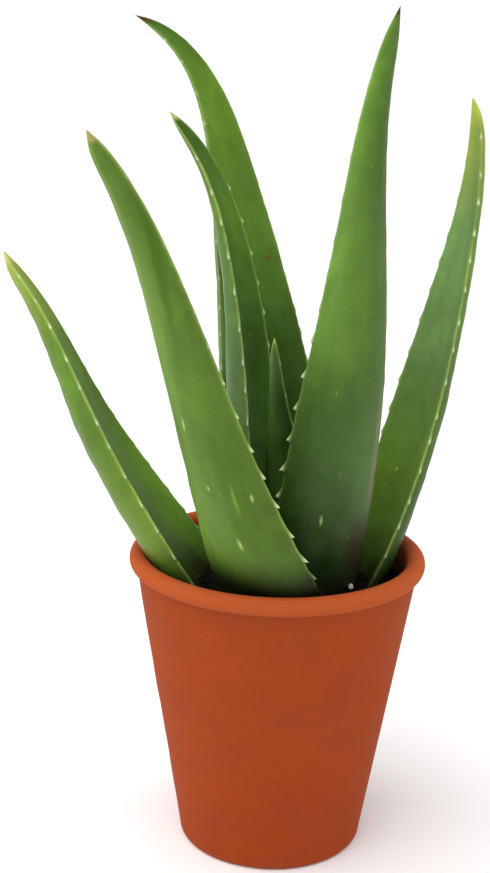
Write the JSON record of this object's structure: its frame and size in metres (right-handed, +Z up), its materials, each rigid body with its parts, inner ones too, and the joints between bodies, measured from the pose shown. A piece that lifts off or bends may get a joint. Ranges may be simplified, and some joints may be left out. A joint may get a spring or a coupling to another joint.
{
  "type": "potted aloe plant",
  "caption": "Young aloe vera: thick upright leaves with toothed margins growing from dark potting soil in a plain tapered clay pot with a round bead rim.",
  "frame": {"origin": "middle of the plan footprint of the whole plant, on the surface the pot stands on; the pot's own axis is 17.9 mm towards +X and 5.6 mm towards -Y of it, because the leaves lean more to the left", "axes": "+Z up along the pot's axis; -Y is the front, the side of the broadest leaf; +X to the right seen from the front"},
  "size_m": [0.2214, 0.1738, 0.3927],
  "materials": {
    "terracotta": "matte",
    "soil": "matte",
    "aloe_crown": "matte",
    "aloe_leaf": "satin",
    "perlite": "matte"
  },
  "bodies": {
    "root": {"pot": "terracotta", "soil": "soil", "crown": "aloe_crown", "leaf_left": "aloe_leaf", "leaf_front_left": "aloe_leaf", "leaf_back": "aloe_leaf", "leaf_inner": "aloe_leaf", "leaf_centre": "aloe_leaf", "leaf_front_right": "aloe_leaf", "leaf_right": "aloe_leaf", "perlite_1": "perlite", "perlite_2": "perlite", "perlite_3": "perlite", "perlite_4": "perlite", "perlite_5": "perlite"}
  },
  "joints": []
}
